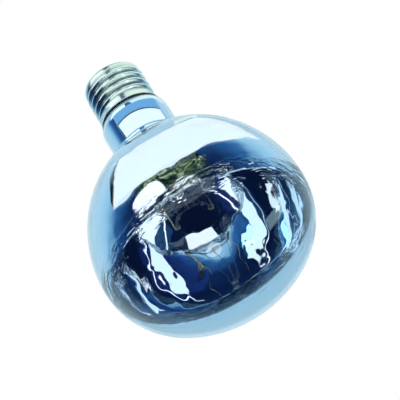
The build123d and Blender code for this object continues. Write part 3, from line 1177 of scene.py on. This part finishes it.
@dataclass
class Studio:
    """Floor, surroundings, soft boxes, cards and the photograph's camera."""

    head: Vector  # Middle of the bulb's head, in metres.
    soft_boxes: tuple[SoftBox, ...]  # The soft boxes.
    cards: tuple[RingCard, ...]  # The cards round the lamp.
    prints: tuple[MottledCard, ...]  # The mottled cards.
    backdrop: str = "#9CCAE2"  # Colour of the backdrop as it shows straight through the clear glass.
    floor_z: float = -0.12  # Height of the floor, well below the lamp, which its holder would carry.
    floor_size: float = 6.0  # Side of the floor.
    floor_paper: str = "#F2F2F2"  # Colour of the floor.
    elevation: float = 34.585  # Height of the camera above the horizon, in degrees.
    roll: float = 148.37  # Turn of the camera about its line of sight, in degrees.
    distance: float = 2.0  # Distance of the camera from the head, in metres.
    aim_right: float = 0.00184  # How far right of the picture's middle the head lies, in metres.
    aim_down: float = 0.01397  # How far below the picture's middle it lies.
    lens: float = 438.3  # Focal length on Blender's usual sensor, in millimetres.
    sight: float = 20.0  # How far the camera sees, in metres.

    def towards_camera(self) -> Vector:
        """Direction from the head to the camera."""
        rise = math.radians(self.elevation)
        return Vector((0.0, -math.cos(rise), math.sin(rise)))

    def build(self) -> None:
        """Set up everything round the lamp."""
        self.lay_floor()
        self.surround()
        for box in self.soft_boxes:
            box.hang(self.head)
        for card in self.cards:
            card.lay()
        for card in self.prints:
            card.hang(self.head)
        self.place_camera()
        bpy.context.scene.view_settings.view_transform = "Standard"
        LOG.info("studio: %d soft boxes, %d cards", len(self.soft_boxes), len(self.cards) + len(self.prints))

    def lay_floor(self) -> None:
        """Lay a plain floor, white to the camera, which stays out of the mirror and the glass."""
        shape = bmesh.new()
        bmesh.ops.create_grid(shape, x_segments=1, y_segments=1, size=self.floor_size / 2)
        bmesh.ops.translate(shape, verts=shape.verts, vec=(0.0, 0.0, self.floor_z))
        floor = keep_mesh("floor", shape)
        paper = bpy.data.materials.new("white_paper")
        tree = empty_tree(paper)
        straight = add_node(tree, "LightPath").outputs["Is Camera Ray"]
        matt = add_node(tree, "BsdfDiffuse", {"Color": linear(self.floor_paper)})
        white = add_node(tree, "Emission", {"Color": linear("#FFFFFF"), "Strength": 1.0})
        seen = add_node(tree, "MixShader", {0: straight, 1: matt, 2: white})
        add_node(tree, "OutputMaterial", {"Surface": seen})
        floor.data.materials.append(paper)
        floor.visible_glossy = False
        floor.visible_transmission = False

    def surround(self) -> None:
        """Surround the lamp with a room, pale blue behind it and dark blue on the camera's side.

        The mirror shows the room, the clear glass the backdrop, and the camera sees plain white.
        """
        world = bpy.data.worlds.new("studio")
        bpy.context.scene.world = world
        tree = empty_tree(world)
        way = add_node(tree, "TexCoord").outputs["Generated"]
        ways = {0: way, 1: self.towards_camera()}
        turned = add_node(tree, "VectorMath", ways, operation="DOT_PRODUCT").outputs["Value"]
        angle = add_node(tree, "Math", {0: turned}, operation="ARCCOSINE")
        share = add_node(tree, "Math", {0: angle, 1: math.pi}, operation="DIVIDE")
        room = add_node(tree, "ValToRGB", {"Fac": share})
        fill_ramp(room, ROOM)
        ray = add_node(tree, "LightPath").outputs
        # A line of sight that no mirror has turned has a depth of 0.
        straight = add_node(tree, "Math", {0: ray["Glossy Depth"], 1: 0.5}, operation="LESS_THAN")
        shades = {MIX_A: room, MIX_B: linear(self.backdrop)}
        shown = add_node(tree, "Mix", {0: straight, **shades}, data_type="RGBA")
        shades = {MIX_A: shown.outputs[MIXED], MIX_B: linear("#FFFFFF")}
        seen = add_node(tree, "Mix", {0: ray["Is Camera Ray"], **shades}, data_type="RGBA")
        glow = add_node(tree, "Background", {"Color": seen.outputs[MIXED], "Strength": 1.0})
        add_node(tree, "OutputWorld", {"Surface": glow})

    def place_camera(self) -> None:
        """Set the camera where the photograph was taken from."""
        data = bpy.data.cameras.new("photo_camera")
        data.lens = self.lens
        data.clip_end = self.sight
        camera = keep("photo_camera", data)
        back = self.towards_camera()
        level_right = Vector((1.0, 0.0, 0.0))
        level_up = back.cross(level_right)
        roll = math.radians(self.roll)
        right = math.cos(roll) * level_right + math.sin(roll) * level_up
        up = back.cross(right)
        eye = self.head + back * self.distance - right * self.aim_right + up * self.aim_down
        axes = Matrix((right, up, back)).transposed().to_4x4()
        camera.matrix_world = Matrix.Translation(eye) @ axes
        bpy.context.scene.camera = camera


SHELL = "cap_screw_shell"
# White shapes and dim walls for the mirror, and pale light from both sides for the cap.
# Each has its name, direction, width, height and glow.
SOFT_BOXES = (
    SoftBox("front_box", (-0.08, -0.89, 0.43), 0.78, 0.36, 1.3, polarised=True),
    SoftBox("top_box", (0.0, -0.15, 0.99), 0.34, 0.34, 2.5, face=BoxFace.ROUND),
    SoftBox("front_band", (0.0, -0.985, 0.16), 2.0, 0.46, 1.0, tint="#DCEEEA"),
    SoftBox("cap_box", (-0.2, -0.843, 0.5), 2.6, 0.7, 1.2, tint="#DDF0EE", only=SHELL),
    SoftBox("cap_side_box", (-0.86, 0.1, 0.5), 2.6, 0.7, 1.2, tint="#DDF0EE", only=SHELL),
    SoftBox("right_tube", (-0.62, -0.55, 0.56), 0.04, 1.4, 2.0, polarised=True),
    SoftBox("left_tube", (0.62, -0.55, 0.56), 0.04, 1.4, 2.0, polarised=True),
    SoftBox("right_wall", (-0.85, -0.15, 0.5), 0.9, 1.5, 1.5, tint="#F2FAFA", polarised=True),
    SoftBox("right_panel", (-0.95, -0.1, 0.3), 2.4, 2.0, 1.0, tint="#1C3C58", polarised=True),
    SoftBox("right_patch", (-0.77, 0.25, 0.59), 0.26, 0.5, 3.0, tint="#A8D4DC"),
    SoftBox("left_wall", (0.84, -0.34, 0.42), 0.5, 1.0, 1.5, tint="#F2FAFA", polarised=True),
    SoftBox("left_panel", (0.95, -0.1, 0.3), 2.4, 2.0, 1.0, tint="#141E4A", polarised=True),
    SoftBox("left_lamp", (0.42, -0.75, -0.51), 0.45, 0.28, 1.25, face=BoxFace.ROUND, distance=0.8),
    SoftBox("near_box", (-0.16, -0.94, -0.3), 0.75, 0.4, 1.25, face=BoxFace.ROUND),
    SoftBox("right_box", (-0.725, -0.649, -0.225), 0.4, 0.16, 1.0, face=BoxFace.ROUND),
    SoftBox("left_box", (0.546, -0.836, -0.056), 0.3, 0.16, 1.0, face=BoxFace.ROUND),
)
# A white card under the bowl, and two pale walls round the cap.
# Each has its name, height, inner and outer radius, and the turns of its start and its end.
RING_CARDS = (
    RingCard(
        "white_card", 19.5, 33.0, 101.0, -61.0, 104.0, bow=6.0, start_cut=14.0, end_cut=20.0,
        glow=1.18, edge=0.8, start_edge=6.0, collar=8.0,
    ),
    RingCard(
        "left_cap_wall", 11.0, 36.0, 36.5, -62.0, -2.0, glow=1.45, collar=58.0, collar_colour="#EAF8F6"
    ),
    RingCard(
        "right_cap_wall", 11.0, 36.0, 36.5, 18.0, 120.0, glow=1.25, collar=58.0, collar_colour="#DDF0E8"
    ),
)
# A green print below, in front of the bowl.
GREENS = ("#08121A", "#2C4640", "#84925C", "#EEF4E8")
PRINTS = (MottledCard("green_card", (-0.02, -0.74, -0.67), 1.2, 0.5, GREENS, grain=0.13),)


def main() -> None:
    """Build the lamp's sub-assemblies in order, then the studio."""
    logging.basicConfig(level=logging.INFO, format="%(name)s %(message)s")
    outline = BulbOutline()
    Bulb(outline).build()
    ScrewCap().build()
    FilamentMount().build()
    head = Vector((0.0, 0.0, outline.widest_z * MM))
    Studio(head, SOFT_BOXES, RING_CARDS, PRINTS).build()


if __name__ == "__main__":
    main()
